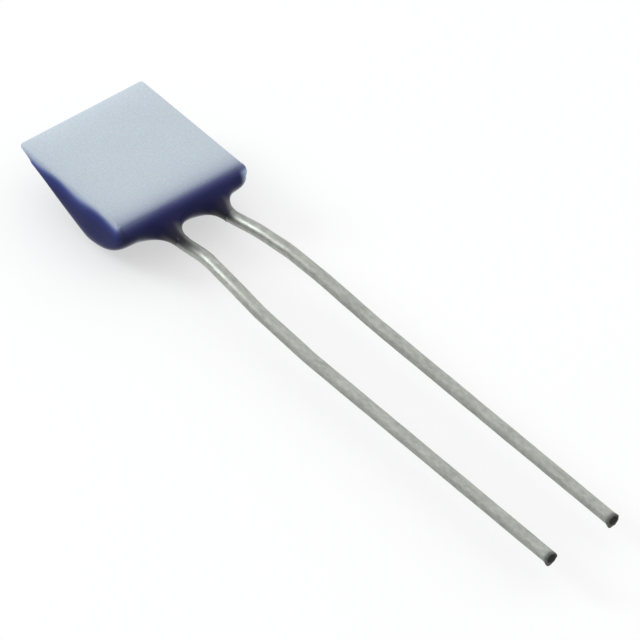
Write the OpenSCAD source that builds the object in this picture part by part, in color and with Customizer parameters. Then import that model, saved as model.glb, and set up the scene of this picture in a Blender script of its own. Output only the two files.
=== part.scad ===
// Thin film platinum resistance temperature sensor: a small ceramic chip that carries
// a platinum meander on its underside, two bonded round leads, and a drop of blue glass
// that holds the leads and climbs a little way round the chip's edges.
// The origin is the centre of the bare ceramic face. +Z points out of that face, and the
// leads run along -Y.

/* [Ceramic chip] */
// Width of the chip, across the leads
chip_w = 2.1; // [1.9:0.05:2.6]
// Length of the chip, along the leads
chip_l = 2.3; // [2.2:0.05:3.4]
// Thickness of the ceramic
chip_t = 0.25; // [0.2:0.01:0.4]
// Height of the upright part of the snapped edges, below the bare face
edge_land = 0.05; // [0.03:0.01:0.1]
// How far the snapped edges lean in by the film side
edge_lean = 0.07; // [0.03:0.01:0.1]

/* [Platinum film] */
// Thickness of the platinum film
film_t = 0.01; // [0.006:0.001:0.014]
// Width of one line of the meander
track_w = 0.03; // [0.02:0.005:0.045]
// Gap between two lines of the meander
track_gap = 0.03; // [0.02:0.005:0.045]
// Bare ceramic left between the film and the chip's side and far edges
film_margin = 0.17; // [0.14:0.01:0.25]

/* [Bond pads] */
// Gap between the two bond pads
pad_split = 0.36; // [0.24:0.02:0.38]
// How far a pad reaches past the end of its lead
pad_past = 0.05; // [0.02:0.01:0.08]
// Thickness of a bond pad
pad_t = 0.02; // [0.018:0.001:0.03]
// Bare ceramic between the pads and the lead edge
pad_setback = 0.1; // [0.09:0.01:0.15]

/* [Cover glaze] */
// Thickness of the glaze over the meander
glaze_t = 0.03; // [0.02:0.002:0.04]
// How far the glaze reaches past the meander
glaze_lap = 0.05; // [0.03:0.005:0.06]

/* [Leads] */
// Diameter of a lead
lead_d = 0.2; // [0.14:0.01:0.22]
// How far the leads reach beyond the chip's lead edge
lead_reach = 9.03; // [6:0.01:20]
// How much shorter the right lead is cut
lead_step = 0.08; // [0:0.01:0.3]
// Length of each lead that lies bonded over the chip
bond_l = 0.95; // [0.8:0.05:0.98]
// Depth of the flat that the bond presses into the lead
bond_flat = 0.01; // [0.006:0.001:0.014]
// Spacing of the leads at the bonds
bond_pitch = 0.85; // [0.75:0.01:0.95]
// Spacing of the straight ends of the leads
tail_pitch = 1.125; // [1:0.005:1.5]
// How far the pair of leads sits to the right of the chip's middle
lead_shift = 0.08; // [0:0.01:0.1]
// How far the leads rise just outside the glass
hump_rise = 0.12; // [0.04:0.01:0.16]
// Radius of the leads' bends, at the centre line
bend_r = 1.5; // [1:0.1:1.6]

/* [Glass bead] */
// Height of the whole body, from the bare face to the lowest glass
body_t = 0.9; // [0.85:0.01:1.1]
// Depth of the glass at the far edge, from the bare face, past the ceramic
tail_glass = 0.01; // [0.005:0.001:0.02]
// Distance of the bead's lowest point from the lead edge
crown_back = 0.85; // [0.75:0.01:1]
// Glass standing in front of the lead edge
front_glass = 0.14; // [0.1:0.01:0.18]
// Glass standing out past each side of the chip, on average
side_glass = 0.04; // [0.03:0.005:0.06]
// How far the bead has crept to the right
bead_shift = 0.03; // [0:0.005:0.03]
// Film side left bare behind the bead, at the far edge
bare_back = 0.01; // [0:0.01:0.1]
// Height of the bead's widest line above the film side
waist_rise = 0.05; // [0.03:0.01:0.08]
// Depth of the glass rim below the bare face
rim_depth = 0.025; // [0.02:0.005:0.04]
// Width of a glass neck where it leaves the bead
neck_w = 0.9; // [0.6:0.02:1]
// Height of a glass neck where it leaves the bead
neck_h = 0.58; // [0.4:0.02:0.6]
// How far a glass neck reaches out from the front of the bead
neck_reach = 0.28; // [0.2:0.01:0.32]
// Thickness of the glass at the tip of a neck
neck_lip = 0.012; // [0.008:0.002:0.02]

/* [Hidden] */

lead_edge = -chip_l / 2;
far_edge = chip_l / 2;
lead_r = lead_d / 2;
round_fn = 48;
over = 1;

// The leads' centre line lies at this height: on the pads, sunk by the flat
lead_z = -(chip_t + pad_t + lead_r - bond_flat);

// Film side: the meander fills the chip from the far margin to the pads
film_half = chip_w / 2 - film_margin;
pad_foot = lead_edge + pad_setback;
pad_top = lead_edge + bond_l + pad_past;
pad_gap = 2 * glaze_lap;
meander_top = far_edge - film_margin;
meander_foot = pad_top + pad_gap;
track_pitch = track_w + track_gap;
run_pairs = floor((2 * film_half - track_w) / track_pitch / 2 + 0.5);
run_count = 2 * run_pairs;
run_step = (2 * film_half - track_w) / (run_count - 1);
glaze_r = 0.04;

// Free part of the leads, as rows of distance from the first bend, share of the spread
// and share of the rise. The first bend lies just past the tips of the glass necks.
neck_tip = lead_edge - front_glass - neck_reach;
first_bend = neck_tip - 0.03;
lead_form = [[0, 0, 0], [0.6, 0.18, 1], [1.25, 0.63, 1], [1.95, 0.93, 0.52], [3.1, 1, 0]];
spread = (tail_pitch - bond_pitch) / 2;
bend_fn = 8 * round_fn;
bend_lap = 0.03;
bend_thin = 0.001;

// Bead form: the plan outline is a rounded rectangle whose points crowd towards its
// corners, and the depths follow a straight wedge from the far edge to the crown
outline_power = 14;
side_power = 7;
end_power = 1.5;
rim_power = 9;
corner_steps = 6;
bead_back = far_edge - edge_lean - bare_back;
bead_front = lead_edge - front_glass;
bead_mid = lead_edge + crown_back;
bead_half = chip_w / 2 + side_glass;
waist_depth = chip_t - waist_rise;
tail_depth = chip_t + tail_glass;
lower_shares = [0.995, 0.975, 0.93, 0.86, 0.76, 0.64, 0.5, 0.36, 0.2, 0];
upper_shares = [0.5, 0.78, 0.9, 0.96, 0.985];
neck_steps = 6;
neck_fn = 24;
neck_root = bead_front + 0.12;
neck_power = 2.4;
neck_lean = 45;

// Offset of a point of a rounded outline, at angle a, for half sizes of 1
function outline_r(a) =
    pow(pow(abs(cos(a)), outline_power) + pow(abs(sin(a)), outline_power), -1 / outline_power);
function crowd(t) = 45 * sign(t) * pow(abs(t), 1.7);
outline_angles = [for (side = [0:3], i = [-corner_steps:corner_steps - 1])
    90 * side + 45 + crowd(i / corner_steps)];

// Share of the full size that is left at share s of the way down or up
function narrowing(s, power) = pow(1 - pow(s, power), 1 / power);

// Depth of the bead's underside at a place along the chip
function bead_depth(y) =
    tail_depth + (body_t - tail_depth)
    * min(1, max(0, (bead_back - y) / (bead_back - bead_mid)));

// Place along the chip of an outline point c, when the ends have narrowed to share k
function bead_y(c, k) = bead_mid + (c > 0 ? bead_back - bead_mid : bead_mid - bead_front) * c * k;

function lower_point(a, s) =
    let (r = outline_r(a),
         y = bead_y(sin(a) * r, narrowing(s, end_power)))
    [bead_shift + bead_half * cos(a) * r * narrowing(s, side_power), y,
     -(waist_depth + (max(bead_depth(y), waist_depth) - waist_depth) * s)];

function upper_point(a, s) =
    let (r = outline_r(a), k = narrowing(s, rim_power))
    [bead_shift + bead_half * cos(a) * r * k, bead_y(sin(a) * r, k),
     -(waist_depth - (waist_depth - rim_depth) * s)];

// A closed skin of triangles from a lowest point up through rings of points to a top point
module ring_skin(foot, rings, head) {
    n = len(rings[0]);
    top = 1 + n * (len(rings) - 1);
    polyhedron(
        points = concat([foot], [for (ring = rings) each ring], [head]),
        faces = concat(
            [for (i = [0:n - 1]) [0, 1 + i, 1 + (i + 1) % n]],
            [for (j = [0:len(rings) - 2], i = [0:n - 1])
                [1 + j * n + i, 1 + (j + 1) * n + i, 1 + (j + 1) * n + (i + 1) % n]],
            [for (j = [0:len(rings) - 2], i = [0:n - 1])
                [1 + j * n + i, 1 + (j + 1) * n + (i + 1) % n, 1 + j * n + (i + 1) % n]],
            [for (i = [0:n - 1]) [top + n, top + (i + 1) % n, top + i]]));
}

// A round bar from one point to another
module bar(from, to, r) {
    d = to - from;
    translate(from)
        rotate([0, acos(d[2] / norm(d)), atan2(d[1], d[0])])
            cylinder(h = norm(d), r = r, $fn = round_fn);
}

function unit(v) = v / norm(v);
function turn_angle(a, b, c) = acos(min(1, unit(b - a) * unit(c - b)));
// Length that a bend takes from each of the two straights it joins
function bend_length(a, b, c) = bend_r * tan(turn_angle(a, b, c) / 2);

// The bend that joins the straight from a to b with the straight from b to c. It runs on
// inside both straights by bend_lap, and bend_thin keeps it clear of their skins.
module bend(a, b, c, r) {
    way_in = unit(b - a);
    axis = unit(cross(way_in, unit(c - b)));
    inward = cross(axis, way_in);
    centre = b - way_in * bend_length(a, b, c) + inward * bend_r;
    lap_angle = bend_lap / bend_r * 180 / PI;
    multmatrix([[-inward[0], way_in[0], axis[0], centre[0]],
                [-inward[1], way_in[1], axis[1], centre[1]],
                [-inward[2], way_in[2], axis[2], centre[2]]])
        rotate([0, 0, -lap_angle])
            rotate_extrude(angle = turn_angle(a, b, c) + 2 * lap_angle, $fn = bend_fn)
                translate([bend_r, 0])
                    circle(r = r - bend_thin, $fn = round_fn);
}

// A round wire along a list of points, with a bend at each inner point
module wire(path, r) {
    last = len(path) - 1;
    for (i = [0:last - 1]) {
        way = unit(path[i + 1] - path[i]);
        cut_in = i == 0 ? 0 : bend_length(path[i - 1], path[i], path[i + 1]);
        cut_out = i == last - 1 ? 0 : bend_length(path[i], path[i + 1], path[i + 2]);
        bar(path[i] + way * cut_in, path[i + 1] - way * cut_out, r);
    }
    for (i = [1:last - 1]) bend(path[i - 1], path[i], path[i + 1], r);
}

// Centre line of a lead, with x counted outwards from the middle of the pair
function lead_path(reach) = concat(
    [[bond_pitch / 2, lead_edge + bond_l, lead_z]],
    [for (row = lead_form)
        [bond_pitch / 2 + spread * row[1], first_bend - row[0], lead_z + hump_rise * row[2]]],
    [[tail_pitch / 2, lead_edge - reach, lead_z]]);

// Places the right-hand one of a pair; side is -1 for left and 1 for right
module on_side(side) {
    translate([lead_shift, 0, 0])
        mirror([side < 0 ? 1 : 0, 0, 0])
            children();
}

// The stretch of both leads that the glass wraps, from their ends to past the first bend
module bonded_leads() {
    for (side = [-1, 1])
        on_side(side)
            wire([for (i = [0:2]) lead_path(lead_reach)[i]], lead_r);
}

module rounded_plate(x0, x1, y0, y1, t, r) {
    translate([0, 0, -chip_t - t])
        linear_extrude(t) {
            translate([x0 + r, y0]) square([x1 - x0 - 2 * r, y1 - y0]);
            translate([x0, y0 + r]) square([x1 - x0, y1 - y0 - 2 * r]);
            for (x = [x0 + r, x1 - r], y = [y0 + r, y1 - r])
                translate([x, y]) circle(r = r, $fn = round_fn);
        }
}

module chip_solid() {
    lean = atan(edge_lean / (chip_t - edge_land));
    difference() {
        translate([-chip_w / 2, -chip_l / 2, -chip_t]) cube([chip_w, chip_l, chip_t]);
        for (turn = [0, 180])
            rotate([0, 0, turn]) {
                translate([chip_w / 2, -chip_l, -edge_land])
                    rotate([0, lean, 0])
                        translate([0, 0, -over]) cube([over, 2 * chip_l, over]);
                translate([-chip_w, chip_l / 2, -edge_land])
                    rotate([-lean, 0, 0])
                        translate([0, 0, -over]) cube([2 * chip_w, over, over]);
            }
    }
}

module meander_plan() {
    for (i = [0:run_count - 1]) {
        x = -film_half + i * run_step;
        foot = i == 0 || i == run_count - 1 ? pad_top : meander_foot;
        translate([x, foot]) square([track_w, meander_top - foot]);
        if (i < run_count - 1)
            translate([x, i % 2 == 0 ? meander_top - track_w : meander_foot])
                square([run_step + track_w, track_w]);
    }
}

module track_solid() {
    translate([0, 0, -chip_t - film_t])
        linear_extrude(film_t) meander_plan();
}

module pad_solid(side) {
    inner = pad_split / 2;
    translate([side < 0 ? -film_half : inner, pad_foot, -chip_t - pad_t])
        cube([film_half - inner, pad_top - pad_foot, pad_t]);
}

module lead_solid(side) {
    difference() {
        on_side(side)
            wire(lead_path(lead_reach - (side > 0 ? lead_step : 0)), lead_r);
        pad_solid(side);
    }
}

// A point of a neck's skin at angle a, at share s of the way from the root to the tip. The
// rings lean back with the glass's front face by the root and stand upright at the tip.
function neck_point(a, s) =
    let (lip_r = lead_r + neck_lip,
         x = (lip_r + (neck_w / 2 - lip_r) * pow(1 - s, neck_power)) * cos(a),
         z = (lip_r + (neck_h / 2 - lip_r) * pow(1 - s, neck_power)) * sin(a))
    [bond_pitch / 2 + x,
     neck_root + (neck_tip - neck_root) * s - z * tan(neck_lean) * pow(1 - s, 2),
     lead_z + z];

// The glass that creeps out along a lead and thins to a lip
module neck() {
    ring_skin(
        [bond_pitch / 2, neck_tip, lead_z],
        [for (i = [neck_steps:-1:0])
            [for (a = [0:360 / neck_fn:359]) neck_point(-a, i / neck_steps)]],
        [bond_pitch / 2, neck_root, lead_z]);
}

module bead_body() {
    ring_skin(
        [bead_shift, bead_mid, -body_t],
        concat(
            [for (s = lower_shares) [for (a = outline_angles) lower_point(a, s)]],
            [for (s = upper_shares) [for (a = outline_angles) upper_point(a, s)]]),
        [bead_shift, bead_mid, upper_point(0, upper_shares[len(upper_shares) - 1])[2]]);
}

module ceramic_substrate() {
    color("gainsboro") chip_solid();
}

module platinum_track() {
    color("lightsteelblue") track_solid();
}

module contact_pad(side) {
    color("khaki") pad_solid(side);
}

module glaze_solid() {
    rounded_plate(-film_half - glaze_lap, film_half + glaze_lap,
                  pad_top + glaze_lap, meander_top + glaze_lap, glaze_t, glaze_r);
}

module cover_glaze() {
    color("lightcyan")
        difference() {
            glaze_solid();
            track_solid();
        }
}

module glass_bead() {
    color("midnightblue")
        difference() {
            union() {
                bead_body();
                for (side = [-1, 1]) on_side(side) neck();
            }
            chip_solid();
            glaze_solid();
            track_solid();
            for (side = [-1, 1]) pad_solid(side);
            bonded_leads();
        }
}

module lead_wire(side) {
    color("silver") lead_solid(side);
}

ceramic_substrate();
platinum_track();
contact_pad(-1);  // contact_pad_left
contact_pad(1);  // contact_pad_right
cover_glaze();
glass_bead();
lead_wire(-1);  // lead_wire_left
lead_wire(1);  // lead_wire_right
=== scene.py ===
import bpy
import math
import numpy as np
from mathutils import Matrix, Vector


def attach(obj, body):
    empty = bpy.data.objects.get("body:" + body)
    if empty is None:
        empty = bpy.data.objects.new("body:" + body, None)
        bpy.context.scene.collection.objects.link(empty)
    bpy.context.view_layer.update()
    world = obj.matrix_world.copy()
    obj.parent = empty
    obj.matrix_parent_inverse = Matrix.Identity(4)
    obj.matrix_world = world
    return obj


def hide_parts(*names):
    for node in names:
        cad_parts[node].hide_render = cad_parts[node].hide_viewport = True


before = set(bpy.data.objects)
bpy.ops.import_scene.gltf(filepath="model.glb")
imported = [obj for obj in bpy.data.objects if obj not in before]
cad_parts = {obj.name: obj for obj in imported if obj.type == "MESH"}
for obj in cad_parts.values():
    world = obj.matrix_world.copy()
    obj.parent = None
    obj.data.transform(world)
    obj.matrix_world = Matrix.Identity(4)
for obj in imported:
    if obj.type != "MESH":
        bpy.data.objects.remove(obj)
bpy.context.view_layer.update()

mm = 0.001  # every size below is in millimetres, and every mesh in metres
print("frame loaded:", ", ".join(sorted(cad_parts)))


# Mesh helpers

def makePiece(name, points, faces, replaced, marks=None):
    # points is an n by 3 array in millimetres, faces a list of arrays of 3 or 4 corners, and marks a
    # value at each point under each name
    mesh = bpy.data.meshes.new(name)
    mesh.vertices.add(len(points))
    mesh.vertices.foreach_set("co", (points * mm).astype(np.float32).ravel())
    corners = np.concatenate([block.ravel() for block in faces])
    counts = np.concatenate([np.full(len(block), block.shape[1]) for block in faces])
    mesh.loops.add(len(corners))
    mesh.loops.foreach_set("vertex_index", corners.astype(np.int32))
    mesh.polygons.add(len(counts))
    mesh.polygons.foreach_set("loop_start", (np.cumsum(counts) - counts).astype(np.int32))
    mesh.update(calc_edges=True)
    mesh.validate()
    mesh.shade_smooth()
    for mark, values in (marks or {}).items():
        layer = mesh.attributes.new(mark, "FLOAT", "POINT")
        layer.data.foreach_set("value", values.astype(np.float32))
    piece = bpy.data.objects.new(name, mesh)
    bpy.context.scene.collection.objects.link(piece)
    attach(piece, "root")
    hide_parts(*replaced)
    print("made", name, "with", len(counts), "faces")
    return piece


def gridFaces(rows, columns):
    # quads between neighbouring rings of a grid whose columns close on themselves
    row = np.arange(rows - 1)[:, None] * columns
    here = np.arange(columns)[None, :]
    there = (here + 1) % columns
    quads = np.stack([row + here, row + there, row + columns + there, row + columns + here], -1)
    return quads.reshape(-1, 4)


def closedSkin(rings):
    # rings is a rows by columns by 3 array, and each end closes in a fan on the mean of its ring
    rows, columns = rings.shape[:2]
    points = np.concatenate([rings.reshape(-1, 3), rings[:1].mean(1), rings[-1:].mean(1)])
    here = np.arange(columns)
    there = (here + 1) % columns
    foot, head = rows * columns, rows * columns + 1
    last = (rows - 1) * columns
    start = np.stack([np.full(columns, foot), there, here], -1)
    end = np.stack([np.full(columns, head), last + here, last + there], -1)
    return points, [gridFaces(rows, columns), start, end]


def smoothStep(low, high, value):
    # 0 at low and 1 at high, with an S curve between, and low may be the larger one
    share = np.clip((value - low) / (high - low), 0, 1)
    return share * share * (3 - 2 * share)


# Ceramic chip

chip = dict(left=1.05, right=1.07, front=1.15, back=1.166, thickness=0.25, land=0.05, lean=0.07,
            cornerR=0.045, edgeR=0.02, perSide=96, perCorner=8, edgeRings=5, wallRings=14,
            faceShares=(0.02, 0.25, 0.5, 0.75, 0.9, 0.97),
            snap=0.0022, snapAtFace=0.15, snapPhase=1.0, slowWave=(9.1, 5.3), fastWave=(23.0, 17.0),
            fastShare=0.6)


def chipWall(z):
    # how far the snapped edge has leant in at a height: nothing by the bare face, then a straight slope
    return chip["lean"] * np.clip((-z - chip["land"]) / (chip["thickness"] - chip["land"]), 0, 1)


def outlineColumns(perSide, perCorner):
    # a rounded rectangle as four sides and four quarter circles: share is the corner's side of the
    # centre, from -1 to 1, and turn is the unit vector that the corner radius adds
    side = np.linspace(-1, 1, perSide, endpoint=False)
    bend = np.linspace(0, math.pi / 2, perCorner, endpoint=False)
    one, flat = np.ones(perSide), np.zeros(perSide)
    corner = np.ones(perCorner)
    shares, turns = [], []
    for quarter in range(4):
        c, s = round(math.cos(quarter * math.pi / 2)), round(math.sin(quarter * math.pi / 2))
        spin = np.array([[c, s], [-s, c]])
        shares += [np.stack([one, side], -1) @ spin, np.stack([corner, corner], -1) @ spin]
        turns += [np.stack([one, flat], -1) @ spin, np.stack([np.cos(bend), np.sin(bend)], -1) @ spin]
    return np.concatenate(shares), np.concatenate(turns)


def snapWave(along, across):
    # how uneven the snapped edge is round the chip: a slow wave times a slow wave, plus a finer one
    slow, fast = chip["slowWave"], chip["fastWave"]
    coarse = np.sin(along * slow[0] + chip["snapPhase"]) * np.sin(across * slow[1])
    return coarse + chip["fastShare"] * np.sin(along * fast[0] + across * fast[1])


def makeChip():
    # each ring is the chip's rounded outline, moved in by the lean of its height and by the round of
    # the edge, and uneven where the plate was snapped. The faces close in smaller copies of the ring
    share, turn = outlineColumns(chip["perSide"], chip["perCorner"])
    half = np.array([chip["left"] + chip["right"], chip["front"] + chip["back"]]) / 2
    centre = np.array([chip["right"] - chip["left"], chip["back"] - chip["front"]]) / 2
    thickness, r = chip["thickness"], chip["edgeR"]
    arc = np.linspace(0, math.pi / 2, chip["edgeRings"])
    wallZ = -np.linspace(r, thickness - r, chip["wallRings"])[1:]
    inset = np.concatenate([r - r * np.sin(arc), chipWall(wallZ), chip["lean"] + r - r * np.cos(arc[1:])])
    z = np.concatenate([-r + r * np.cos(arc), wallZ, -thickness + r - r * np.sin(arc[1:])])
    inner = half - inset[:, None] - chip["cornerR"]
    along = (share * half).sum(1)
    across = (share * half) @ np.array([1.0, -1.0])
    growth = np.clip(-z[:, None] / thickness + chip["snapAtFace"], 0, 1)
    push = chip["snap"] * snapWave(along, across) * growth
    rings = np.empty((len(z), len(share), 3))
    for axis in (0, 1):
        corner = turn[:, axis] * (chip["cornerR"] - push)
        rings[:, :, axis] = share[:, axis] * inner[:, axis:axis + 1] + corner
        rings[:, :, axis] += centre[axis]
    rings[:, :, 2] = z[:, None]
    middle = np.array([*centre, 0.0])
    top = np.concatenate([(rings[:1] - middle) * [s, s, 1] + middle for s in chip["faceShares"]])
    bottom = np.concatenate([(rings[-1:] - middle) * [s, s, 1] + middle for s in chip["faceShares"][::-1]])
    points, faces = closedSkin(np.concatenate([bottom[::-1], rings[::-1], top[::-1]]))
    return makePiece("chip", points, faces, ["ceramic_substrate"])


# Leads

lead = dict(radius=0.1, shift=0.08, pitch=0.85, tailPitch=1.125, axisZ=-0.36, innerEnd=-0.2, bendFrom=-1.6,
            rise=0.12, bendR=1.5, leastTurn=1e-6, drift=0.014, tips=(-10.15, -10.07), around=64,
            step=0.04, thinner=0.0022, drawnFrom=(-1.5, -2.5), slowDraw=(0.0008, 5.1),
            fastDraw=(0.0006, 13.7), drawTwist=2, flat=0.01, bondEnd=-1.15)
# the centre line's corners past the first bend: y past it, share of the spread, share of the rise
leadForm = ((0.0, 0.0, 0.0), (0.6, 0.18, 1.0), (1.25, 0.63, 1.0), (1.95, 0.93, 0.52), (3.1, 1.0, 0.0))
# the sheared tip: share of the radius, and how far in from the tip that ring lies
leadTip = ((1.0, 0.035), (0.995, 0.012), (0.975, 0.004), (0.93, 0.0), (0.86, 0.004), (0.74, 0.012),
           (0.6, 0.019), (0.45, 0.024), (0.3, 0.028), (0.15, 0.03))
cut = dict(slant=0.020, footTurn=4.12, slantShares=(0.0, 0.9), spur=0.024, spurTurn=5.45, spurNarrow=14,
           ragged=0.004, raggedWaves=(3, 7), raggedFine=0.7, raggedShares=(0.5, 0.9), room=0.045,
           darkShares=(1.0, 0.68), darkDepth=0.07, edgeDark=0.75, edgeFade=(0.10, 0.02))
film = dict(end=(-2.07, -1.72), tongue=(0.33, 0.26), fade=(0.72, 0.33), turn=(1.05, 0.60), narrow=6,
            top=1.05, flank=(0.45, 0.95), least=0.3, root=(-1.48, -1.30))


def leadCorners(side, tip):
    # corner points of the lead's centre line, from rows of y, share of the spread and height
    spread = (lead["tailPitch"] - lead["pitch"]) / 2
    near = lead["pitch"] / 2
    rows = [(lead["innerEnd"], 0.0, 0.0)]
    rows += [(lead["bendFrom"] - past, share, lead["rise"] * up) for past, share, up in leadForm]
    rows += [(tip, 1.0, 0.0)]
    return [np.array([lead["shift"] + lead["drift"] * share + side * (near + spread * share),
                      y, lead["axisZ"] + up]) for y, share, up in rows]


def filletedLine(corners, radius, step):
    # straight runs joined by arcs of one radius, tangent to both runs at each corner
    pieces, start = [], corners[0]
    for before, here, after in zip(corners, corners[1:], corners[2:]):
        into = (here - before) / np.linalg.norm(here - before)
        out = (after - here) / np.linalg.norm(after - here)
        turn = math.acos(min(1.0, float(into @ out)))
        if turn < lead["leastTurn"]:
            continue
        back = radius * math.tan(turn / 2)
        first, last = here - into * back, here + out * back
        inward = (out - into) / np.linalg.norm(out - into)
        centre = here + inward * radius / math.cos(turn / 2)
        count = max(2, round(radius * turn / step) + 1)
        angle = np.linspace(-turn / 2, turn / 2, count)[:, None]
        middle = (into + out) / np.linalg.norm(into + out)
        runCount = max(1, round(np.linalg.norm(first - start) / step))
        pieces.append(start + (first - start) * np.linspace(0, 1, runCount, endpoint=False)[:, None])
        pieces.append((centre - inward * radius * np.cos(angle) + middle * radius * np.sin(angle))[:-1])
        start = last
    runCount = max(1, round(np.linalg.norm(corners[-1] - start) / step))
    pieces.append(start + (corners[-1] - start) * np.linspace(0, 1, runCount + 1)[:, None])
    return np.concatenate(pieces)


def filmCover(angle, y, which):
    # how much a film of glass hides the wire: 1 under the bead and 0 past the film's end, which runs
    # out in a tongue along one line of the wire. Off the wire's upper side the film is thinner
    tongue = film["tongue"][which] * (0.5 + 0.5 * np.cos(angle - film["turn"][which])) ** film["narrow"]
    end = film["end"][which] - tongue
    full = smoothStep(*film["flank"], np.cos(angle - film["top"]))
    full = np.maximum(full, smoothStep(*film["root"], y))
    strength = film["least"] + (1 - film["least"]) * full
    return strength * smoothStep(end, end + film["fade"][which], y)


def tipRings(side, tip, axis, across, radius):
    # rings in the plane of the tip, each at its share of the radius: one side of the face slants back,
    # a spur stands out at one angle, and a few coarse and fine waves make the cut edge ragged
    shares, inward = np.array(leadTip).T[:, :, None]
    angle = np.linspace(0, 2 * math.pi, lead["around"], endpoint=False)
    foot = np.clip(np.cos(angle - cut["footTurn"]), 0, 1)
    spur = np.clip(np.cos(angle - cut["spurTurn"]), 0, 1) ** cut["spurNarrow"]
    coarse, fine = cut["raggedWaves"]
    waves = np.sin(coarse * angle + side) + cut["raggedFine"] * np.sin(fine * angle + 2 * side)
    tear = cut["ragged"] * waves + cut["spur"] * spur
    spread = shares * (radius + tear * smoothStep(*cut["raggedShares"], shares))
    rings = np.empty((len(leadTip), lead["around"], 3))
    rings[:, :, 0] = axis[0] + spread * np.cos(angle) * across[0]
    rings[:, :, 2] = axis[2] + spread * np.sin(angle)
    rings[:, :, 1] = tip + inward + cut["slant"] * foot * smoothStep(*cut["slantShares"], shares)
    return rings


def makeLead(name, side, tip, node):
    # rings of one radius stand square to the centre line, with two slight waves from drawing. They are
    # flattened on top where the lead is bonded, and the tip closes in a sheared face
    line = filletedLine(leadCorners(side, tip), lead["bendR"], lead["step"])
    along = np.gradient(line, axis=0)
    along /= np.linalg.norm(along, axis=1, keepdims=True)
    across = np.cross(along, [0.0, 0.0, 1.0])
    across /= np.linalg.norm(across, axis=1, keepdims=True)
    up = np.cross(across, along)
    angle = np.linspace(0, 2 * math.pi, lead["around"], endpoint=False)
    r = lead["radius"]
    distance = np.concatenate([[0], np.cumsum(np.linalg.norm(np.diff(line, axis=0), axis=1))])[:, None]
    slow, fast = lead["slowDraw"], lead["fastDraw"]
    draw = slow[0] * np.sin(distance * slow[1] + side)
    draw = draw + fast[0] * np.sin(distance * fast[1] + lead["drawTwist"] * angle)
    size = r - lead["thinner"] + draw * smoothStep(*lead["drawnFrom"], line[:, 1:2])
    offset = (np.cos(angle)[None, :, None] * across[:, None] + np.sin(angle)[None, :, None] * up[:, None])
    rings = line[:, None] + offset * size[:, :, None]
    bonded = rings[:, :, 1] > lead["bondEnd"]
    roof = lead["axisZ"] + r - lead["flat"]
    rings[:, :, 2] = np.where(bonded, np.minimum(rings[:, :, 2], roof), rings[:, :, 2])

    rings = rings[rings[:, 0, 1] > tip + cut["slant"] + cut["room"]]
    rings = np.concatenate([rings, tipRings(side, tip, line[-1], across[-1], size[-1])])
    points, faces = closedSkin(rings)
    faces = [block[:, ::-1] for block in faces]  # these rings run clockwise, seen from the tip

    # the cut face is dark, and its edge a little less so
    fromAxis = np.hypot(points[:, 0] - line[-1, 0], points[:, 2] - line[-1, 2]) / r
    fromTip = points[:, 1] - tip
    sheared = smoothStep(*cut["darkShares"], fromAxis) * (fromTip < cut["darkDepth"])
    sheared = np.maximum(sheared, cut["edgeDark"] * smoothStep(*cut["edgeFade"], fromTip))
    around = np.concatenate([np.tile(angle, len(rings)), [0.0, 0.0]])
    filmed = filmCover(around, points[:, 1], int(side > 0))
    return makePiece(name, points, faces, [node], {"sheared": sheared, "filmed": filmed})


# Glass bead

bead = dict(shift=0.0315, half=1.088, mid=-0.30, front=-1.29, back=1.07, waist=0.20, tail=0.26, full=0.90,
            cornerPower=14, sharpen=5.0, sidePower=7, endPower=1.5, ridge=0.03, brow=0.05, crown=0.06,
            narrowest=0.3, shallowest=0.02, fieldScale=0.9, swell=0.052, swellAt=0.20, swellWide=0.3,
            leftDraw=0.035, leftDrawn=(-0.45, -0.8), rightDraw=0.018, rightDrawn=(0.6, 0.85),
            leftClimb=1.7, rightClimb=3.5, frontClimb=2.2,
            sideLine=0.046, sideWave=0.024, waveLength=0.95, waveAt=0.33, frontLine=0.008,
            frontTurn=(-1.02, -1.13), menisci=(0.378, 0.345), filmTips=(-1.66, -1.62), bendStart=-1.45,
            lip=0.1015, skinRoot=-0.8, slowRipple=(0.0016, 5.1, 4.3, 3.1), ripplePhase=0.6,
            fastRipple=(0.0011, 9.7, 7.9), seatWall=0.12, seatDepth=0.19, brim=0.006,
            low=(-1.16, -1.70, -0.95), high=(1.22, 1.16, 0.04), cell=0.018,
            rounds=5, nudge=0.001, flattest=0.05, farthest=0.01, ease=0.5)


def softAbs(value, width):
    # the size of a number with its point at zero rounded off, and still 1 at 1
    return (np.sqrt(value ** 2 + width ** 2) - width) / (math.sqrt(1 + width ** 2) - width)


def softMin(first, second, width):
    # the lower of two values, with the corner between them filled by a parabola
    near = np.clip(width - np.abs(first - second), 0, None) / width
    return np.minimum(first, second) - near * near * width / 4


def contactDepth(x, y):
    # how far down the chip's edge the glass begins: a slow wave along the sides, and nearly at the face
    # along the front
    wave = np.cos(2 * math.pi * (y - bead["waveAt"]) / bead["waveLength"])
    onFront = smoothStep(*bead["frontTurn"], y)
    return (bead["sideLine"] - bead["sideWave"] * wave) * (1 - onFront) + bead["frontLine"] * onFront


def frontDrift(x):
    # how far the front stands back from its line: it draws back towards both corners, and swells a
    # little between the leads
    swell = bead["swell"] * np.exp(-((x - bead["swellAt"]) / bead["swellWide"]) ** 2)
    left = bead["leftDraw"] * smoothStep(*bead["leftDrawn"], x)
    return left + bead["rightDraw"] * smoothStep(*bead["rightDrawn"], x) - swell


def wedgeDepth(y):
    # how deep the body reaches: from its crown down to the thin back edge
    slope = softMin((bead["back"] - y) / (bead["back"] - bead["mid"]), 1.0, bead["crown"])
    return bead["tail"] + (bead["full"] - bead["tail"]) * np.clip(slope, bead["shallowest"], 1)


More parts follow.
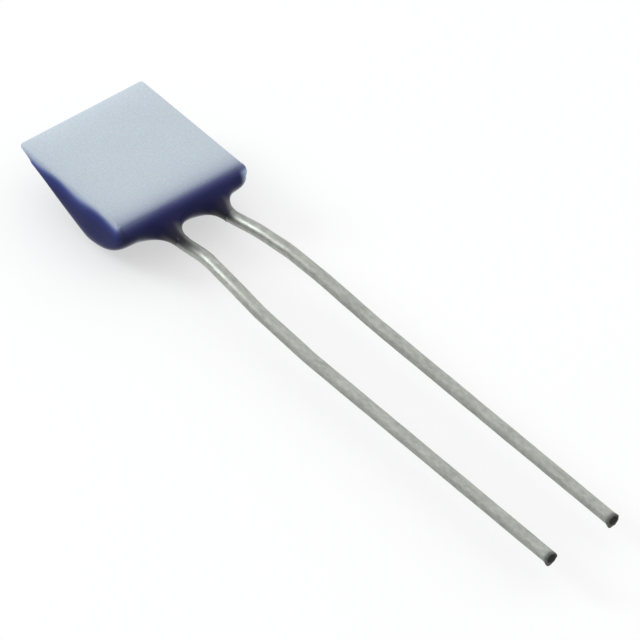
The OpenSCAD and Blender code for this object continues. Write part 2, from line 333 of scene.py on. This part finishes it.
def bodyField(x, y, z):
    # below the waist: a wedge whose depth falls from the crown to the thin back edge, narrowed with depth
    # by one power across and another along. Above the waist the wall runs in to the chip's edge, which it
    # meets at the contact line, and the corners grow sharper. Negative inside, and about a distance in
    # millimetres near the surface
    reach = np.where(y > bead["mid"], bead["back"] - bead["mid"], bead["mid"] - bead["front"] - frontDrift(x))
    u = (x - bead["shift"]) / bead["half"]
    v = (y - bead["mid"]) / reach
    s = np.clip((-z - bead["waist"]) / (wedgeDepth(y) - bead["waist"]), 0, None)
    rise = np.clip((z + bead["waist"]) / (bead["waist"] - contactDepth(x, y)), 0, None)
    sideRise = rise ** np.where(x > 0, bead["rightClimb"], bead["leftClimb"])
    lean = chipWall(z)
    wallX = np.where(x > 0, chip["right"] - lean - bead["shift"], chip["left"] - lean + bead["shift"])
    wallFront = bead["mid"] + chip["front"] - lean
    limitX = 1 - (1 - wallX / bead["half"]) * sideRise
    limitY = np.where(y > bead["mid"], 1.0, 1 - (1 - wallFront / reach) * rise ** bead["frontClimb"])
    u = np.abs(u) / np.clip(limitX, bead["narrowest"], None)
    v = softAbs(v, bead["ridge"]) / np.clip(limitY, bead["narrowest"], None)
    p, q = bead["sidePower"], bead["endPower"]
    o = bead["cornerPower"] * (1 + bead["sharpen"] * np.clip(rise, 0, 1) ** 2)
    wide = (u ** p + s ** p) ** (1 / p)
    long = (v ** q + softAbs(s, bead["brow"]) ** q) ** (1 / q)
    size = np.clip(wide ** o + long ** o - s ** o, 1e-12, None) ** (1 / o)
    return (size - 1) * bead["fieldScale"]


def wettedLead(x, y, z, side):
    # the skin of glass on one lead: a tube about its axis, which lifts where the lead starts to bend and
    # ends well inside the body
    lift = np.clip(bead["bendStart"] - y, 0, None) ** 2 / (2 * lead["bendR"])
    dx = x - lead["shift"] - side * lead["pitch"] / 2
    tube = np.hypot(dx, z - lead["axisZ"] - lift) - bead["lip"]
    return np.maximum(np.maximum(tube, bead["filmTips"][int(side > 0)] - y), y - bead["skinRoot"])


def glassField(x, y, z):
    # the body and the skin on both leads, joined by a soft minimum that draws the glass out along each
    # lead in a meniscus, less the seat of the chip, with two faint ripples
    skin = bodyField(x, y, z)
    for side in (-1, 1):
        skin = softMin(skin, wettedLead(x, y, z, side), bead["menisci"][int(side > 0)])
    slow, fast = bead["slowRipple"], bead["fastRipple"]
    ripple = slow[0] * np.sin(x * slow[1] + bead["ripplePhase"]) * np.sin(y * slow[2] + z * slow[3])
    ripple = ripple + fast[0] * np.sin(x * fast[1] - y * fast[2])
    wall = bead["seatWall"]
    seat = np.maximum(np.abs(x) - chip["left"] + wall, np.abs(y) - chip["front"] + wall)
    seat = np.maximum(seat, -bead["seatDepth"] - z)
    return np.maximum(np.maximum(skin + ripple, -seat), z + bead["brim"])


def surfaceNet(field, low, high, cell):
    # a point in each cell that the surface crosses, at the mean of the crossings on the cell's edges, and
    # a quad of the four cells round each crossed edge, turned to face out
    axes = [np.arange(a, b + cell, cell) for a, b in zip(low, high)]
    grid = np.stack(np.meshgrid(*axes, indexing="ij"), -1)
    value = field(grid[..., 0], grid[..., 1], grid[..., 2])
    inside = value < 0
    cells = tuple(n - 1 for n in value.shape)
    total, hits = np.zeros(cells + (3,)), np.zeros(cells, np.int32)
    crossings = []
    for axis in range(3):
        b, c = (axis + 1) % 3, (axis + 2) % 3
        near = [slice(1, -1)] * 3
        far = [slice(1, -1)] * 3
        near[axis], far[axis] = slice(None, -1), slice(1, None)
        near, far = tuple(near), tuple(far)
        crossed = inside[near] != inside[far]
        gap = np.where(crossed, value[near] - value[far], 1.0)
        spot = grid[near].copy()
        spot[..., axis] += cell * np.where(crossed, value[near] / gap, 0)
        spot *= crossed[..., None]
        for db in (0, 1):
            for dc in (0, 1):
                place = [slice(None)] * 3
                place[b], place[c] = slice(1 - db, cells[b] - db), slice(1 - dc, cells[c] - dc)
                total[tuple(place)] += spot
                hits[tuple(place)] += crossed
        crossings.append((axis, b, c, np.argwhere(crossed), inside[near][crossed]))
    number = np.cumsum(hits.ravel() > 0).reshape(cells) - 1
    points = total[hits > 0] / hits[hits > 0][:, None]
    quads = []
    for axis, b, c, where, outward in crossings:
        corners = []
        for db, dc in ((0, 0), (1, 0), (1, 1), (0, 1)):
            at = where.copy()
            at[:, b] += db
            at[:, c] += dc
            corners.append(number[at[:, 0], at[:, 1], at[:, 2]])
        quad = np.stack(corners, -1)
        quads.append(np.where(outward[:, None], quad, quad[:, ::-1]))
    return points, np.concatenate(quads)


def settle(points, quads, field):
    # each round moves every point onto the surface by its field and the field's slope, and all but the
    # last two then even the net out along the surface
    links = np.concatenate([quads[:, [k, (k + 1) % 4]] for k in range(4)])
    count = np.bincount(links[:, 0], minlength=len(points))[:, None]
    step = bead["nudge"]
    for turn in range(bead["rounds"]):
        slope = np.empty_like(points)
        for axis in range(3):
            nudge = np.zeros(3)
            nudge[axis] = step
            ahead, behind = points + nudge, points - nudge
            slope[:, axis] = (field(*ahead.T) - field(*behind.T)) / (2 * step)
        steep = np.clip((slope ** 2).sum(1), bead["flattest"], None)
        move = -(field(*points.T) / steep)[:, None] * slope
        points = points + np.clip(move, -bead["farthest"], bead["farthest"])
        if turn < bead["rounds"] - 2:
            mean = np.stack([np.bincount(links[:, 0], points[links[:, 1], k], len(points))
                             for k in range(3)], -1)
            pull = mean / count - points
            normal = slope / np.sqrt(steep)[:, None]
            points = points + bead["ease"] * (pull - normal * (pull * normal).sum(1)[:, None])
    return points


# where a highlight is painted on the glass: the right front corner by x, y, z and its top edge; and where the
# glass counts as thin: the back end
thin = dict(x=(0.94, 1.07), y=(-0.95, -1.05), z=(-0.62, -0.35), edge=(-0.04, -0.10), edgeLeast=0.15,
            end=(0.85, 1.0), endY=(0.0, 0.5), endMost=0.45)
# how the depths that colour the glass are measured, and where its front wall and its necks begin
depths = dict(above=0.01, perDepth=3, atEdge=0.07, wallShare=0.8, wallMost=0.3, frontY=(-1.09, -1.17),
              neckFrom=-1.2)


def thinGlass(x, y, z):
    # 1 along the right front corner, where a highlight is painted, and less at the end of the back slope,
    # where the glass is thinnest
    corner = smoothStep(*thin["x"], x) * smoothStep(*thin["y"], y) * smoothStep(*thin["z"], z)
    corner *= thin["edgeLeast"] + (1 - thin["edgeLeast"]) * smoothStep(*thin["edge"], z)
    v = np.clip(y - bead["mid"], 0, None) / (bead["back"] - bead["mid"])
    s = np.clip(-z - bead["waist"], 0, None) / (wedgeDepth(y) - bead["waist"])
    q = bead["endPower"]
    end = smoothStep(*thin["end"], (v ** q + s ** q) ** (1 / q)) * smoothStep(*thin["endY"], y)
    return np.maximum(corner, thin["endMost"] * end)


def makeBead():
    # the surface of the glass field, with what colours the glass at each point: the distance off the chip,
    # the depth below the glass's border, how thin it is and where a highlight is painted on it, and the wire
    # that shows through
    points, quads = surfaceNet(glassField, bead["low"], bead["high"], bead["cell"])
    points = settle(points, quads, glassField)
    x, y, z = points.T
    lean = chipWall(z)
    outX = np.maximum(x - chip["right"], -chip["left"] - x) + lean
    outY = np.maximum(y - chip["back"], -chip["front"] - y) + lean
    outZ = -chip["thickness"] - z
    depth = np.sqrt(sum(np.clip(part, 0, None) ** 2 for part in (outX, outY, outZ)))

    # down the sides the glass darkens with the distance below its border, and less where it is thin
    below = -z - contactDepth(x, y) + depths["above"]
    sideDepth = np.clip(np.minimum(below, depths["perDepth"] * depth + depths["atEdge"]), 0, None)
    frontDepth = np.maximum(depth, depths["wallShare"] * np.clip(below, 0, depths["wallMost"]))

    # near a lead: how far off its surface the glass stands, and how much of the lead shows through
    right = (x > lead["shift"]).astype(int)
    dx = x - lead["shift"] - (2 * right - 1) * lead["pitch"] / 2
    dz = z - lead["axisZ"]
    overWire = np.where(y < depths["neckFrom"], np.hypot(dx, dz) - lead["radius"], 1.0)
    angle = np.arctan2(dz, -dx)
    covered = np.where(right > 0, filmCover(angle, y, 1), filmCover(angle, y, 0))
    marks = {"glassDepth": frontDepth, "sideDepth": sideDepth, "thinEdge": thinGlass(x, y, z),
             "frontShare": smoothStep(*depths["frontY"], y), "overWire": overWire, "covered": covered}
    return makePiece("fixing_glass", points, [quads], ["glass_bead"], marks)


chipPiece = makeChip()
leadPieces = [
    makeLead("lead_left", -1, lead["tips"][0], "lead_wire_left"),
    makeLead("lead_right", 1, lead["tips"][1], "lead_wire_right"),
]
beadPiece = makeBead()


# Materials

def fill(tree, socket, value):
    # a socket takes a link, a plain value, or a colour without its alpha
    if isinstance(value, bpy.types.NodeSocket):
        tree.links.new(value, socket)
    elif socket.type == "RGBA" and len(value) == 3:
        socket.default_value = (*value, 1)
    else:
        socket.default_value = value


def addNode(tree, kind, inputs=None, **settings):
    node = tree.nodes.new(kind)
    for name, value in settings.items():
        setattr(node, name, value)
    for name, value in (inputs or {}).items():
        fill(tree, node.inputs[name], value)
    return node


def newMaterial(name):
    material = bpy.data.materials.new(name)
    material.use_nodes = True
    tree = material.node_tree
    tree.nodes.clear()
    output = addNode(tree, "ShaderNodeOutputMaterial")
    shader = addNode(tree, "ShaderNodeBsdfPrincipled")
    tree.links.new(shader.outputs["BSDF"], output.inputs["Surface"])
    place = addNode(tree, "ShaderNodeTexCoord").outputs["Object"]
    return material, tree, shader, place


def newGroup(name, inputs, outputs):
    tree = bpy.data.node_groups.new(name, "ShaderNodeTree")
    for label, kind, value in inputs:
        socket = tree.interface.new_socket(label, in_out="INPUT", socket_type=kind)
        if value is not None:
            socket.default_value = value
    for label, kind in outputs:
        tree.interface.new_socket(label, in_out="OUTPUT", socket_type=kind)
    return tree, addNode(tree, "NodeGroupInput").outputs, addNode(tree, "NodeGroupOutput").inputs


def mathNode(tree, operation, *values, clamp=False):
    node = addNode(tree, "ShaderNodeMath", dict(enumerate(values)), operation=operation, use_clamp=clamp)
    return node.outputs[0]


def vectorNode(tree, operation, inputs, output=0):
    return addNode(tree, "ShaderNodeVectorMath", inputs, operation=operation).outputs[output]


def attribute(tree, name):
    return addNode(tree, "ShaderNodeAttribute", attribute_name=name).outputs["Fac"]


def sCurve(tree, value, low, high, start=0.0, end=1.0):
    # start at low and end at high, with an S curve between
    return addNode(tree, "ShaderNodeMapRange", {"Value": value, "From Min": low, "From Max": high,
                                                "To Min": start, "To Max": end},
                   interpolation_type="SMOOTHSTEP").outputs["Result"]


def colourRamp(tree, value, stops):
    # a ramp over the stops' own range, which starts at 0
    reach = stops[-1][0]
    ramp = addNode(tree, "ShaderNodeValToRGB", {"Fac": mathNode(tree, "DIVIDE", value, reach)})
    elements = ramp.color_ramp.elements
    for k, (position, colour) in enumerate(stops):
        element = elements[k] if k < 2 else elements.new(position / reach)
        element.position = position / reach
        element.color = (*colour, 1)
    return ramp.outputs["Color"]


def mixColours(tree, factor, first, second, blend="MIX"):
    mix = addNode(tree, "ShaderNodeMix", data_type="RGBA", blend_type=blend)
    for name, value in (("Factor", factor), ("A", first), ("B", second)):
        fill(tree, mix.inputs[name], value)
    return mix.outputs["Result"]


def timesShade(tree, colour, shade):
    # a colour times a grey value
    grey = addNode(tree, "ShaderNodeCombineColor", {"Red": shade, "Green": shade, "Blue": shade}).outputs[0]
    return mixColours(tree, 1.0, colour, grey, "MULTIPLY")


def addBump(tree, shader, height, distance):
    bump = addNode(tree, "ShaderNodeBump", {"Height": height, "Strength": 1.0, "Distance": distance * mm})
    tree.links.new(bump.outputs["Normal"], shader.inputs["Normal"])


def inMillimetres(tree, place):
    return vectorNode(tree, "SCALE", {0: place, "Scale": 1 / mm})


def noise(tree, place, scale, detail):
    return addNode(tree, "ShaderNodeTexNoise", {"Vector": place, "Scale": scale, "Detail": detail}).outputs


grain = dict(fine=60.0, slow=4.0, amount=0.05, fineDetail=3.0, slowDetail=4.0, speckDetail=2.0)


def makeGrainGroup():
    # fine grain over slow mottling: a shade about 1, which each noise moves by up to its amount, and the
    # fine grain as a height from 0 to 1
    tree, given, made = newGroup(
        "grain",
        [("Place", "NodeSocketVector", None), ("Fine", "NodeSocketFloat", grain["fine"]),
         ("Slow", "NodeSocketFloat", grain["slow"]), ("Fine Amount", "NodeSocketFloat", grain["amount"]),
         ("Slow Amount", "NodeSocketFloat", grain["amount"])],
        [("Shade", "NodeSocketFloat"), ("Height", "NodeSocketFloat")])
    place = inMillimetres(tree, given["Place"])
    fine, slow = (noise(tree, place, given[size], grain[detail])["Fac"]
                  for size, detail in (("Fine", "fineDetail"), ("Slow", "slowDetail")))
    finePart, slowPart = (
        mathNode(tree, "MULTIPLY", mathNode(tree, "SUBTRACT", value, 0.5), given[amount])
        for value, amount in ((fine, "Fine Amount"), (slow, "Slow Amount")))
    both = mathNode(tree, "ADD", finePart, slowPart)
    tree.links.new(mathNode(tree, "ADD", 1.0, mathNode(tree, "MULTIPLY", 2.0, both)), made["Shade"])
    tree.links.new(fine, made["Height"])
    return tree


grainGroup = makeGrainGroup()


def addGrain(tree, place, values):
    # values: fine scale and slow scale, per millimetre, then the amount of each
    node = addNode(tree, "ShaderNodeGroup", node_tree=grainGroup)
    for name, value in zip(("Place", "Fine", "Slow", "Fine Amount", "Slow Amount"), (place, *values)):
        fill(tree, node.inputs[name], value)
    return node.outputs["Shade"], node.outputs["Height"]


alumina = dict(colour=(0.53, 0.595, 0.66), frontShadeColour=(0.199, 0.225, 0.342), paintedWallColour=(0.68, 0.75, 0.90),
               roughness=0.62, specular=0.35, frontReach=0.148, wallReach=0.02, wallFrom=0.02, wallBlend=0.08,
               sideShade=0.11, sideReach=0.17, sideShadeColour=(0.02, 0.05, 0.25),
               paintedBackGlow=0.16, backReach=0.25, backOpen=0.06,
               grain=(36.0, 2.2, 0.17, 0.03), speckSize=31.0, speckRange=0.24, speckLeast=0.88, bump=0.0015)


def makeAlumina():
    # fired alumina lets light through, and this light and shade are painted into the colour: a painted shade
    # from the dark glass behind it fades with the distance from the front edge and the left edge, the walls
    # are painted lighter and bluer towards the glass that climbs them, and the open back edge is painted
    # lighter
    material, tree, shader, place = newMaterial("fired_alumina")
    axes = addNode(tree, "ShaderNodeSeparateXYZ", {"Vector": place}).outputs

    def fade(away, reach, amount):
        power = mathNode(tree, "DIVIDE", away, -reach * mm)
        return mathNode(tree, "MULTIPLY", mathNode(tree, "EXPONENT", power), amount)

    fromFront = mathNode(tree, "ADD", axes["Y"], chip["front"] * mm)
    fromLeft = mathNode(tree, "ADD", axes["X"], chip["left"] * mm)
    fromBack = mathNode(tree, "SUBTRACT", chip["back"] * mm, axes["Y"])
    down = mathNode(tree, "DIVIDE", axes["Z"], -alumina["wallReach"] * mm, clamp=True)
    openBack = mathNode(tree, "DIVIDE", fromBack, alumina["backOpen"] * mm, clamp=True)
    pastFront = mathNode(tree, "SUBTRACT", fromFront, alumina["wallFrom"] * mm)
    offFront = mathNode(tree, "DIVIDE", pastFront, alumina["wallBlend"] * mm, clamp=True)
    wall = mathNode(tree, "MULTIPLY", mathNode(tree, "MULTIPLY", down, offFront), openBack)
    # painted shade: the front and left edges darken towards the dark glass, and the walls are painted lighter
    # and bluer
    front = fade(fromFront, alumina["frontReach"], 1.0)
    left = fade(fromLeft, alumina["sideReach"], alumina["sideShade"])
    colour = mixColours(tree, front, alumina["colour"], alumina["frontShadeColour"])
    colour = mixColours(tree, wall, colour, alumina["paintedWallColour"])
    colour = mixColours(tree, left, colour, alumina["sideShadeColour"])
    # painted light: the open back edge is made lighter
    back = mathNode(tree, "ADD", 1.0, fade(fromBack, alumina["backReach"], alumina["paintedBackGlow"]))
    shade, height = addGrain(tree, place, alumina["grain"])

    # each grain also has a slight tint of its own
    speck = noise(tree, inMillimetres(tree, place), alumina["speckSize"], grain["speckDetail"])["Color"]
    tint = vectorNode(tree, "MULTIPLY_ADD", {
        0: speck, 1: (alumina["speckRange"],) * 3, 2: (alumina["speckLeast"],) * 3})
    colour = mixColours(tree, 1.0, colour, tint, "MULTIPLY")
    total = mathNode(tree, "MULTIPLY", back, shade)
    tree.links.new(timesShade(tree, colour, total), shader.inputs["Base Color"])
    shader.inputs["Roughness"].default_value = alumina["roughness"]
    shader.inputs["Specular IOR Level"].default_value = alumina["specular"]
    addBump(tree, shader, height, alumina["bump"])
    return material


cobalt = dict(roughness=0.16, specular=0.05, ior=1.52, thinColour=(0.44, 0.55, 0.74),
              overColour=(0.030, 0.028, 0.040), bareColour=(0.27, 0.265, 0.235), overReach=0.12,
              rimReflectionColour=(0.72, 0.76, 0.88), rimPower=9.0, rimAmount=1.6, rimMost=0.6, rimLow=0.05,
              rimBlend=0.5, rimSide=(-0.6, -0.3, -0.74), rimTurn=(0.2, 0.75), rimHeight=(-0.30, -0.40),
              grain=(24.0, 2.4, 0.04, 0.12), bump=0.0006)
# colour by the distance below the glass's border, in millimetres, on the sides
sideStops = ((0.0, (0.61, 0.70, 0.88)), (0.03, (0.49, 0.58, 0.80)), (0.045, (0.41, 0.485, 0.73)),
             (0.06, (0.335, 0.40, 0.66)), (0.075, (0.245, 0.30, 0.555)), (0.09, (0.165, 0.21, 0.46)),
             (0.11, (0.095, 0.126, 0.355)), (0.13, (0.060, 0.082, 0.292)), (0.16, (0.0255, 0.0425, 0.23)),
             (0.19, (0.0165, 0.030, 0.20)), (0.23, (0.009, 0.017, 0.165)), (0.33, (0.005, 0.009, 0.112)))
# colour by the glass's depth over the ceramic, in millimetres, on the front wall
frontStops = ((0.0, (0.178, 0.199, 0.292)), (0.03, (0.124, 0.149, 0.270)), (0.052, (0.077, 0.084, 0.207)),
              (0.082, (0.047, 0.050, 0.155)), (0.12, (0.0280, 0.0305, 0.110)),
              (0.16, (0.0210, 0.0225, 0.086)), (0.28, (0.0170, 0.0182, 0.067)))


def makeCobalt():
    # dark glass coloured by its depth, pale with a painted highlight along one corner and pale over the
    # leads, with a painted reflection as a pale rim where it turns under, as a glossy skin has
    material, tree, shader, place = newMaterial("cobalt_glass")
    sideColour = colourRamp(tree, attribute(tree, "sideDepth"), sideStops)
    frontColour = colourRamp(tree, attribute(tree, "glassDepth"), frontStops)
    glass = mixColours(tree, attribute(tree, "frontShare"), sideColour, frontColour)
    # painted highlight: the right front corner is made pale, and the thin back end is paler as well
    glass = mixColours(tree, attribute(tree, "thinEdge"), glass, cobalt["thinColour"])
    off = mathNode(tree, "DIVIDE", attribute(tree, "overWire"), cobalt["overReach"])
    near = mathNode(tree, "SUBTRACT", 1.0, off, clamp=True)
    overLead = mixColours(tree, attribute(tree, "covered"), cobalt["bareColour"], cobalt["overColour"])
    glass = mixColours(tree, near, glass, overLead)
    shade, height = addGrain(tree, place, cobalt["grain"])
    glass = timesShade(tree, glass, shade)

    # the rim, a painted reflection: strong at a grazing look, on skin that faces down and to the left, and
    # low on the bead
    facing = addNode(tree, "ShaderNodeLayerWeight", {"Blend": cobalt["rimBlend"]}).outputs["Facing"]
    normal = addNode(tree, "ShaderNodeTexCoord").outputs["Normal"]
    turned = vectorNode(tree, "DOT_PRODUCT", {0: normal, 1: cobalt["rimSide"]}, "Value")
    down = sCurve(tree, turned, *cobalt["rimTurn"], cobalt["rimLow"], 1.0)
    z = addNode(tree, "ShaderNodeSeparateXYZ", {"Vector": place}).outputs["Z"]
    low = sCurve(tree, z, *(edge * mm for edge in cobalt["rimHeight"]))
    grazing = mathNode(tree, "POWER", facing, cobalt["rimPower"])
    rim = mathNode(tree, "MULTIPLY", grazing, cobalt["rimAmount"])
    rim = mathNode(tree, "MULTIPLY", rim, mathNode(tree, "MULTIPLY", down, low))
    rim = mathNode(tree, "MINIMUM", rim, cobalt["rimMost"])
    tree.links.new(mixColours(tree, rim, glass, cobalt["rimReflectionColour"]), shader.inputs["Base Color"])
    shader.inputs["Roughness"].default_value = cobalt["roughness"]
    shader.inputs["Specular IOR Level"].default_value = cobalt["specular"]
    shader.inputs["IOR"].default_value = cobalt["ior"]
    addBump(tree, shader, height, cobalt["bump"])
    return material


wire = dict(colour=(0.44, 0.446, 0.415), sheared=(0.05, 0.05, 0.048), filmed=(0.030, 0.030, 0.040),
            smooth=0.47, dull=0.62, dullMetal=0.35, dullFrom=-2.6, dullTo=-4.2, specular=0.05,
            cutLessMetal=0.7, cutRough=0.8, stretch=(1.0, 0.35, 1.0), grain=(26.0, 6.0, 0.34, 0.22), bump=0.0012)


def makeLeadMetal():
    # drawn wire: smooth where it leaves the glass and duller along the straight run, with dark sheared ends,
    # and no metal where glass covers it and less on the darkened cut
    material, tree, shader, place = newMaterial("drawn_lead_metal")
    y = addNode(tree, "ShaderNodeSeparateXYZ", {"Vector": place}).outputs["Y"]
    dull, metal = (sCurve(tree, y, wire["dullFrom"] * mm, wire["dullTo"] * mm, near, far)
                   for near, far in ((wire["smooth"], wire["dull"]), (1.0, wire["dullMetal"])))
    drawn = vectorNode(tree, "MULTIPLY", {0: place, 1: wire["stretch"]})
    shade, height = addGrain(tree, drawn, wire["grain"])
    sheared, filmed = attribute(tree, "sheared"), attribute(tree, "filmed")
    colour = mixColours(tree, sheared, timesShade(tree, wire["colour"], shade), wire["sheared"])
    colour = mixColours(tree, filmed, colour, wire["filmed"])
    tree.links.new(colour, shader.inputs["Base Color"])
    covered = mathNode(tree, "MAXIMUM", filmed, mathNode(tree, "MULTIPLY", sheared, wire["cutLessMetal"]))
    bare = mathNode(tree, "MULTIPLY", mathNode(tree, "SUBTRACT", 1.0, covered), metal)
    rough = mathNode(tree, "MAXIMUM", dull, mathNode(tree, "MULTIPLY", sheared, wire["cutRough"]))
    tree.links.new(bare, shader.inputs["Metallic"])
    tree.links.new(rough, shader.inputs["Roughness"])
    shader.inputs["Specular IOR Level"].default_value = wire["specular"]
    addBump(tree, shader, height, wire["bump"])
    return material


platinum = dict(colour=(0.62, 0.61, 0.58), metallic=1.0, roughness=0.25, grain=(90.0, 6.0, 0.08, 0.08))
pads = dict(colour=(0.68, 0.66, 0.60), metallic=1.0, roughness=0.4, grain=(60.0, 8.0, 0.08, 0.08))
glaze = dict(colour=(0.30, 0.36, 0.44), metallic=0.0, roughness=0.12, grain=(40.0, 3.0, 0.08, 0.08))
filmBump = 0.0008


def makeFilm(name, look):
    # a thin film on the chip: its colour and roughness both follow the grain of the ceramic below
    material, tree, shader, place = newMaterial(name)
    shade, height = addGrain(tree, place, look["grain"])
    tree.links.new(timesShade(tree, look["colour"], shade), shader.inputs["Base Color"])
    tree.links.new(mathNode(tree, "MULTIPLY", shade, look["roughness"]), shader.inputs["Roughness"])
    shader.inputs["Metallic"].default_value = look["metallic"]
    addBump(tree, shader, height, filmBump)
    return material


def dress(piece, material):
    piece.data.materials.clear()
    piece.data.materials.append(material)


dress(chipPiece, makeAlumina())
dress(beadPiece, makeCobalt())
leadMetal = makeLeadMetal()
for piece in leadPieces:
    dress(piece, leadMetal)
dress(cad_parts["platinum_track"], makeFilm("platinum_film", platinum))
padMetal = makeFilm("pad_metal", pads)
for node in ("contact_pad_left", "contact_pad_right"):
    dress(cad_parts[node], padMetal)
dress(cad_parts["cover_glaze"], makeFilm("cover_glaze", glaze))
print("materials done")


# Floor, light and camera

studio = dict(floorHalf=2000.0, floorColour=(0.46, 0.46, 0.46), floorGlow=0.55,
              horizon=0.45, zenith=1.03, tilt=1.0,
              lampSize=42.0, lampPlace=(-49.5, 71.1, 54.0), lampPower=0.037, lampColour=(0.93, 1.0, 0.98))
camera = dict(azimuth=-35.1407, elevation=40.7664, roll=-3.2038, pixelsPerMm=72.2638, frameSize=640,
              faceCentre=(130.582, 153.793), distance=360.0, sensor=36.0, clip=(0.01, 20.0))


def makeFloor():
    # a wide square under the bead's lowest point. It glows for the camera and for gloss, so that it
    # shows white and still takes a shadow, and it can't be seen from below
    spots = np.empty(3 * len(beadPiece.data.vertices), np.float32)
    beadPiece.data.vertices.foreach_get("co", spots)
    height = float(spots[2::3].min())
    half = studio["floorHalf"] * mm
    mesh = bpy.data.meshes.new("floor")
    mesh.from_pydata([(-half, -half, height), (half, -half, height), (half, half, height),
                      (-half, half, height)], [], [(0, 1, 2, 3)])
    floor = bpy.data.objects.new("floor", mesh)
    bpy.context.scene.collection.objects.link(floor)
    material = bpy.data.materials.new("white_floor")
    material.use_nodes = True
    tree = material.node_tree
    tree.nodes.clear()
    output = addNode(tree, "ShaderNodeOutputMaterial")
    matt = addNode(tree, "ShaderNodeBsdfDiffuse", {"Color": studio["floorColour"]})
    glow = addNode(tree, "ShaderNodeEmission", {"Color": (1, 1, 1), "Strength": studio["floorGlow"]})
    dark = addNode(tree, "ShaderNodeEmission", {"Strength": 0.0})
    path = addNode(tree, "ShaderNodeLightPath").outputs
    mirrored = mathNode(tree, "MAXIMUM", path["Is Glossy Ray"], path["Is Transmission Ray"])
    seen = mathNode(tree, "MAXIMUM", path["Is Camera Ray"], mirrored)
    added = addNode(tree, "ShaderNodeMixShader", {"Fac": seen, 1: dark.outputs[0], 2: glow.outputs[0]})
    both = addNode(tree, "ShaderNodeAddShader", {0: matt.outputs[0], 1: added.outputs[0]})
    behind = addNode(tree, "ShaderNodeNewGeometry").outputs["Backfacing"]
    clear = addNode(tree, "ShaderNodeBsdfTransparent").outputs[0]
    whole = addNode(tree, "ShaderNodeMixShader", {"Fac": behind, 1: both.outputs[0], 2: clear})
    tree.links.new(whole.outputs[0], output.inputs["Surface"])
    mesh.materials.append(material)


def makeWorld():
    # a pale sky, brightest overhead and to the right, and dimmer towards the horizon
    world = bpy.data.worlds.new("studio")
    bpy.context.scene.world = world
    world.use_nodes = True
    tree = world.node_tree
    tree.nodes.clear()
    output = addNode(tree, "ShaderNodeOutputWorld")
    direction = addNode(tree, "ShaderNodeTexCoord").outputs["Generated"]
    up = vectorNode(tree, "DOT_PRODUCT", {0: direction, 1: (studio["tilt"], 0.0, 1.0)}, "Value")
    level = addNode(tree, "ShaderNodeMapRange", {"Value": up, "From Min": 0.0, "From Max": 1.0,
                                                 "To Min": studio["horizon"], "To Max": studio["zenith"]})
    sky = addNode(tree, "ShaderNodeBackground", {"Color": (1, 1, 1), "Strength": level.outputs["Result"]})
    tree.links.new(sky.outputs[0], output.inputs["Surface"])


def makeLamp():
    # one soft square lamp, turned to the chip
    lamp = bpy.data.lights.new("lamp", "AREA")
    lamp.shape = "SQUARE"
    lamp.size = studio["lampSize"] * mm
    lamp.energy = studio["lampPower"]
    lamp.color = studio["lampColour"]
    holder = bpy.data.objects.new("lamp", lamp)
    holder.location = Vector(studio["lampPlace"]) * mm
    holder.rotation_euler = (-holder.location).to_track_quat("-Z", "Y").to_euler()
    bpy.context.scene.collection.objects.link(holder)


def makeCamera():
    # a long lens, turned and rolled, with the bare face's centre at its own place in the frame
    azimuth, elevation, roll = (math.radians(camera[k]) for k in ("azimuth", "elevation", "roll"))
    forward = Vector((-math.sin(azimuth) * math.cos(elevation), math.cos(azimuth) * math.cos(elevation),
                      -math.sin(elevation)))
    level = Vector((math.cos(azimuth), math.sin(azimuth), 0))
    upright = level.cross(forward)
    right = level * math.cos(roll) + upright * math.sin(roll)
    up = upright * math.cos(roll) - level * math.sin(roll)
    half = camera["frameSize"] / 2
    aim = right * (half - camera["faceCentre"][0]) - up * (half - camera["faceCentre"][1])
    aim /= camera["pixelsPerMm"]
    lens = bpy.data.cameras.new("camera")
    lens.sensor_width = camera["sensor"]
    lens.lens = lens.sensor_width * camera["distance"] / (camera["frameSize"] / camera["pixelsPerMm"])
    lens.clip_start, lens.clip_end = camera["clip"]
    view = bpy.data.objects.new("camera", lens)
    turned = Matrix((right, up, -forward)).transposed()
    view.matrix_world = Matrix.Translation((aim - forward * camera["distance"]) * mm) @ turned.to_4x4()
    bpy.context.scene.collection.objects.link(view)
    bpy.context.scene.camera = view


makeFloor()
makeWorld()
makeLamp()
makeCamera()
bpy.context.scene.view_settings.view_transform = "Standard"
print("studio done")

bpy.context.view_layer.update()
